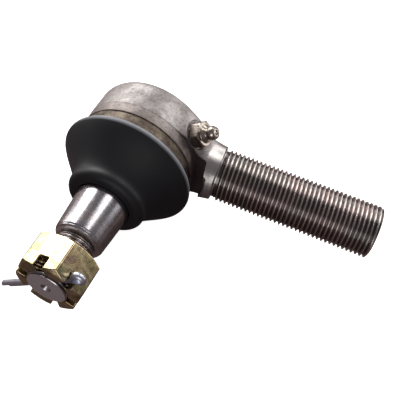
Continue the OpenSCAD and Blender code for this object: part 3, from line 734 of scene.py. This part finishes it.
# %% Bright steels
def bright_steel(name, warm, cold, roughness, ring_axis, grain, wear, groove, lean, root, crest):
    """Bright steel with rings across ring_axis: noise squeezed thin along that axis and long across it."""
    material, tree, shader, place = new_finish(name, Metallic=1.0)
    squeeze = [per_mm(14)] * 3
    squeeze[ring_axis] = per_mm(grain)
    rings_at = add(tree, "Mapping", {"Vector": place, "Scale": squeeze}).outputs[0]
    rings = add(tree, "TexNoise", {"Vector": rings_at, "Scale": 1.0, "Detail": 3.0}).outputs[0]
    film = add(tree, "TexNoise", {"Vector": place, "Scale": per_mm(13), "Detail": 2.0}).outputs[0]
    film_mask = add(tree, "MapRange", {0: film, 1: 0.38, 2: 0.62, 3: 0.0, 4: 1.0}).outputs[0]
    tint = add(tree, "Mix", {0: film_mask, 6: colour(warm), 7: colour(cold)}, data_type="RGBA").outputs[2]
    scuff = add(tree, "TexNoise",
                {"Vector": place, "Scale": per_mm(2.2), "Detail": 5.0, "Roughness": 0.7}).outputs[0]
    scuff_mask = add(tree, "MapRange", {0: scuff, 1: 0.45, 2: 0.72, 3: 0.0, 4: wear}).outputs[0]
    worn = add(tree, "Mix", {0: scuff_mask, 6: tint, 7: colour("#6a6360")}, data_type="RGBA").outputs[2]
    # dirt and painted shade darken the thread's roots: distance from the piece's own axis, from below the
    # root to the crest
    across = [1.0] * 3
    across[ring_axis] = 0.0
    level = add(tree, "VectorRotate", {"Vector": place, "Angle": -lean}, rotation_type="Z_AXIS").outputs[0]
    flat = add(tree, "VectorMath", {0: level, 1: across}, operation="MULTIPLY").outputs[0]
    distance = add(tree, "VectorMath", {0: flat}, operation="LENGTH").outputs["Value"]
    height = add(tree, "MapRange", {0: distance, 1: (root - 0.6) * MM, 2: crest * MM}).outputs[0]
    root_dirt_and_shade = add(tree, "ValToRGB", {0: height})
    root_dirt_and_shade.color_ramp.elements[0].color = (0, 0, 0, 1)
    root_dirt_and_shade.color_ramp.elements[1].color = (0, 0, 0, 1)
    for position, depth in ((0.2, 0.0), (0.3, 0.85), (0.42, 0.7), (0.72, 0.0)):
        root_dirt_and_shade.color_ramp.elements.new(position).color = (depth, depth, depth, 1)
    oiled = add(tree, "Mix", {0: root_dirt_and_shade.outputs[0], 6: worn, 7: colour("#33272a")},
                data_type="RGBA").outputs[2]
    # faces square to the axis keep the coarser lathe finish, which scatters more light
    faces_along = add(tree, "SeparateXYZ",
                      {0: tree.nodes["Texture Coordinate"].outputs["Normal"]}).outputs[ring_axis]
    square = add(tree, "Math", {0: faces_along}, operation="ABSOLUTE").outputs[0]
    end_part = add(tree, "MapRange", {0: square, 1: 0.9, 2: 0.97, 3: 0.0, 4: 1.0}).outputs[0]
    final = add(tree, "Mix", {0: end_part, 6: oiled, 7: colour("#cfc8cb")}, data_type="RGBA").outputs[2]
    tree.links.new(final, shader.inputs["Base Color"])
    rough_rings = add(tree, "MapRange",
                      {0: rings, 1: 0.3, 2: 0.7, 3: roughness * 0.8, 4: roughness * 1.25}).outputs[0]
    side_rough = add(tree, "Math", {0: scuff_mask, 1: 0.12, 2: rough_rings},
                     operation="MULTIPLY_ADD").outputs[0]
    rough = add(tree, "Mix", {0: end_part, 2: side_rough, 3: 0.55}).outputs[0]
    tree.links.new(rough, shader.inputs["Roughness"])
    bump = add(tree, "Bump", {"Height": rings, "Strength": groove, "Distance": 0.00003})
    tree.links.new(bump.outputs[0], shader.inputs["Normal"])
    return material


finish_piece(bright_steel("turned_thread_steel", "#cbbdb9", "#b9b5b0", 0.24, 0, 9.0, 0.1, 0.0,
                          SHANK_LEAN, core, THREAD_R), "housing_shank_thread")
finish_piece(bright_steel("ground_stud_steel", "#c4bbbb", "#adaaae", 0.2, 1, 0.4, 0.5, 0.2,
                          0.0, STUD_R - STUD_DEPTH, STUD_R), "ball_stud_ground")

# %% [markdown]
# ### Yellow zinc
# The nut is zinc-plated and yellow-passivated. The passivation film is so thin that it
# interferes with light, so its gold drifts to olive, pink and green from place to place, while the
# plating under it stays glossy. A colour ramp over a soft noise gives the drift.

# %% Yellow zinc
zinc, tree, shader, place = new_finish("yellow_passivated_zinc", Metallic=1.0)
drift = add(tree, "TexNoise",
            {"Vector": place, "Scale": per_mm(9), "Detail": 3.0, "Distortion": 0.6}).outputs[0]
film = add(tree, "ValToRGB", {0: drift})
ramp = film.color_ramp
ramp.elements[0].position = 0.28
ramp.elements[0].color = colour("#9e8479")
ramp.elements[1].position = 0.72
ramp.elements[1].color = colour("#8c8c70")
for position, shade in ((0.40, "#ad9a74"), (0.50, "#c4b592"), (0.60, "#978862")):
    ramp.elements.new(position).color = colour(shade)
grime = add(tree, "TexNoise", {"Vector": place, "Scale": per_mm(1.6), "Detail": 4.0}).outputs[0]
grime_mask = add(tree, "MapRange", {0: grime, 1: 0.55, 2: 0.75, 3: 0.0, 4: 0.4}).outputs[0]
coat = add(tree, "Mix", {0: grime_mask, 6: film.outputs[0], 7: colour("#6e5c40")},
           data_type="RGBA").outputs[2]
tree.links.new(coat, shader.inputs["Base Color"])
rough = add(tree, "MapRange", {0: grime, 1: 0.35, 2: 0.7, 3: 0.16, 4: 0.3}).outputs[0]
tree.links.new(rough, shader.inputs["Roughness"])
bump = add(tree, "Bump", {"Height": drift, "Strength": 0.2, "Distance": 0.0003})
tree.links.new(bump.outputs[0], shader.inputs["Normal"])
finish_piece(zinc, "slotted_nut_plated")

# %% [markdown]
# ### Moulded rubber
# Chloroprene boots come out of the mould near black and half matt. The rim's top edge is painted a
# pale grey, a painted highlight for the light it catches from above, and dust settles in soft patches.

# %% Rubber
rubber, tree, shader, place = new_finish("moulded_black_rubber", Metallic=0.0, Specular_IOR_Level=0.45)
where = add(tree, "SeparateXYZ", {0: place}).outputs
dust = add(tree, "TexNoise",
           {"Vector": place, "Scale": per_mm(14), "Detail": 4.0, "Roughness": 0.65}).outputs[0]
dust_mask = add(tree, "MapRange", {0: dust, 1: 0.45, 2: 0.75, 3: 0.0, 4: 0.35}).outputs[0]
black = add(tree, "Mix", {0: dust_mask, 6: colour("#08090e"), 7: colour("#121319")},
            data_type="RGBA").outputs[2]
# painted highlight: the rim's round, more than 29.6 mm from the axis, is painted pale grey for the light it
# catches, fading down the side
in_back = add(tree, "MapRange", {0: where[1], 1: -0.0190, 2: -0.0172, 3: 0.0, 4: 0.85}).outputs[0]
flat_place = add(tree, "VectorMath", {0: place, 1: (1, 0, 1)}, operation="MULTIPLY").outputs[0]
from_axis = add(tree, "VectorMath", {0: flat_place}, operation="LENGTH").outputs["Value"]
on_round = add(tree, "MapRange", {0: from_axis, 1: 0.0290, 2: 0.0302, 3: 0.0, 4: 1.0}).outputs[0]
rim_highlight_part = add(tree, "Math", {0: in_back, 1: on_round}, operation="MULTIPLY").outputs[0]
rim_highlighted = add(tree, "Mix", {0: rim_highlight_part, 6: black, 7: colour("#8e9196")}, data_type="RGBA").outputs[2]
tree.links.new(rim_highlighted, shader.inputs["Base Color"])
rough = add(tree, "MapRange", {0: dust, 1: 0.3, 2: 0.7, 3: 0.48, 4: 0.6}).outputs[0]
tree.links.new(rough, shader.inputs["Roughness"])
skin_grain = add(tree, "TexNoise", {"Vector": place, "Scale": per_mm(0.8), "Detail": 2.0}).outputs[0]
bump = add(tree, "Bump", {"Height": skin_grain, "Strength": 0.15, "Distance": 0.0001})
tree.links.new(bump.outputs[0], shader.inputs["Normal"])
finish_piece(rubber, "dust_boot_rubber")


# %% [markdown]
# ### Plated and pressed small parts
# The pin is bright zinc with a faint blue cast, the fitting a warmer plated steel, the cap a
# phosphated pressing, and the parts inside the socket are plain steel, sintered iron and seal
# rubber. They share one recipe: two close shades, specks of wear and a fine grain.

# %% Small parts
def mottled(name, light, dark, roughness, metallic, patch, grain):
    """Two close shades in patches, with a fine grain in bump and roughness."""
    material, tree, shader, place = new_finish(name, Metallic=metallic)
    cloud = add(tree, "TexNoise", {"Vector": place, "Scale": per_mm(patch), "Detail": 4.0}).outputs[0]
    mask = add(tree, "MapRange", {0: cloud, 1: 0.38, 2: 0.66, 3: 0.0, 4: 1.0}).outputs[0]
    shade = add(tree, "Mix", {0: mask, 6: colour(light), 7: colour(dark)}, data_type="RGBA").outputs[2]
    tree.links.new(shade, shader.inputs["Base Color"])
    rough = add(tree, "MapRange",
                {0: cloud, 1: 0.3, 2: 0.7, 3: roughness * 0.8, 4: roughness * 1.2}).outputs[0]
    tree.links.new(rough, shader.inputs["Roughness"])
    fine = add(tree, "TexNoise", {"Vector": place, "Scale": per_mm(grain), "Detail": 3.0}).outputs[0]
    bump = add(tree, "Bump", {"Height": fine, "Strength": 0.25, "Distance": 0.00006})
    tree.links.new(bump.outputs[0], shader.inputs["Normal"])
    return material


finish_piece(mottled("bright_zinc_wire", "#dadce8", "#c2c4d2", 0.36, 1.0, 3, 0.5), "cotter_pin_wire")
finish_piece(mottled("plated_fitting_steel", "#aca298", "#8c8177", 0.24, 1.0, 3, 0.6),
             "grease_fitting_turned")
finish_piece(mottled("phosphated_pressed_steel", "#8f8c88", "#6b6864", 0.45, 1.0, 7, 0.8),
             "end_cap_pressing")
finish_piece(mottled("sintered_bearing_iron", "#8a8580", "#6f6a66", 0.5, 1.0, 4, 0.7),
             "stud_side_bearing", "cap_side_bearing")
finish_piece(mottled("spring_strip_steel", "#9aa0a8", "#7d838b", 0.32, 1.0, 5, 0.6),
             "disc_spring_steel", "check_spring_coil")
finish_piece(mottled("boot_ring_steel", "#a9a6a3", "#8a8784", 0.38, 1.0, 5, 0.7),
             "boot_seat_ring", "boot_lip_ring")
finish_piece(mottled("seal_rubber", "#1d1d1f", "#2a2a2c", 0.5, 0.0, 4, 0.6), "cap_seal")
finish_piece(mottled("hardened_ball_steel", "#d6d6d8", "#c2c2c4", 0.12, 1.0, 4, 0.8), "check_ball")

# %% [markdown]
# ## Floor, light and camera
# The studio is a pale floor, a large soft box on the left for the bright bands along the stud, one
# behind and above on the right for the shank, and a weak wide one at the front. To the camera the floor
# glows near white, so its shadows almost wash out; to reflections and bounced light it is dark maroon, a
# painted dark reflection for the metal to mirror. Between them the room stays dim, because polished steel
# only looks like steel when it has something dark to reflect. The camera sees a pale backdrop past the
# floor's edge.

# %% Floor
floor_size = 3.0
floor_z = -32.3 * MM
corners = np.array([[-1, -1, 0], [1, -1, 0], [1, 1, 0], [-1, 1, 0]]) * floor_size + [0, 0, floor_z]
floor_mesh = bpy.data.meshes.new("floor")
floor_mesh.from_pydata(corners, [], [[0, 1, 2, 3]])
floor = bpy.data.objects.new("floor", floor_mesh)
bpy.context.scene.collection.objects.link(floor)
floor_finish, tree, shader, place = new_finish("pale_table", Roughness=0.7)
seen = add(tree, "LightPath").outputs["Is Camera Ray"]
# painted reflection: every ray but the camera's sees the floor dark maroon, standing in for a dark room
# mirrored in the metal
pale_to_camera_dark_in_reflections = add(tree, "Mix", {0: seen, 6: colour("#6d5a58"), 7: colour("#f4f3f2")}, data_type="RGBA").outputs[2]
tree.links.new(pale_to_camera_dark_in_reflections, shader.inputs["Base Color"])
shader.inputs["Emission Color"].default_value = colour("#ffffff")
lit = add(tree, "Math", {0: seen, 1: 0.85}, operation="MULTIPLY").outputs[0]
tree.links.new(lit, shader.inputs["Emission Strength"])
floor_mesh.materials.append(floor_finish)

# %% Light
world = bpy.data.worlds.new("studio")
bpy.context.scene.world = world
world.use_nodes = True
tree = world.node_tree
tree.nodes.clear()
seen = add(tree, "LightPath").outputs["Is Camera Ray"]
dim = add(tree, "Background", {"Color": colour("#dcd6dc"), "Strength": 0.28}).outputs[0]
pale = add(tree, "Background", {"Color": colour("#ffffff"), "Strength": 1.0}).outputs[0]
mixed = add(tree, "MixShader", {0: seen, 1: dim, 2: pale}).outputs[0]
add(tree, "OutputWorld", {0: mixed})


def soft_box(name, place, aim, width, height, glow, tint="#ffffff"):
    """An area light at place facing aim, all in mm, whose face glows with the given radiance:
    its power is radiance times pi times its area."""
    light = bpy.data.lights.new(name, "AREA")
    light.shape = "RECTANGLE"
    light.size, light.size_y = width * MM, height * MM
    light.energy = glow * math.pi * light.size * light.size_y
    light.color = colour(tint)[:3]
    box = bpy.data.objects.new(name, light)
    box.location = Vector(place) * MM
    box.rotation_euler = (Vector(place) - Vector(aim)).to_track_quat("Z", "Y").to_euler()
    bpy.context.scene.collection.objects.link(box)


soft_box("left_box", (-304, 217, 224), (0, -45, 0), 260, 300, 7.0)
soft_box("low_left_box", (-520, 60, 70), (0, 0, 0), 200, 260, 4.0)
soft_box("back_box", (170, 260, 380), (60, 0, 0), 200, 330, 4.2)
soft_box("right_box", (430, 300, 110), (0, -40, 0), 220, 260, 2.2)
soft_box("low_back_box", (90, 430, 170), (60, 0, 0), 280, 240, 2.6)
soft_box("front_box", (90, -600, 170), (80, 0, 0), 320, 330, 2.6)

# %% Camera
CAMERA_PLACE = (76.4749, -203.4164, 267.1741)
RIGHT = (0.8984375, 0.4103703, 0.1562249)
DOWN = (0.4224472, -0.7107496, -0.5624708)
AHEAD = (-0.1197845, 0.5713416, -0.8119239)
camera = bpy.data.objects.new("camera", bpy.data.cameras.new("camera"))
camera.data.sensor_width = 36.0
camera.data.lens = 64.15
camera.data.clip_start = 0.01
turn = Matrix((RIGHT, [-v for v in DOWN], [-v for v in AHEAD])).transposed()
camera.matrix_world = Matrix.Translation(Vector(CAMERA_PLACE) * MM) @ turn.to_4x4()
bpy.context.scene.collection.objects.link(camera)
bpy.context.scene.camera = camera
bpy.context.scene.view_settings.view_transform = "Standard"
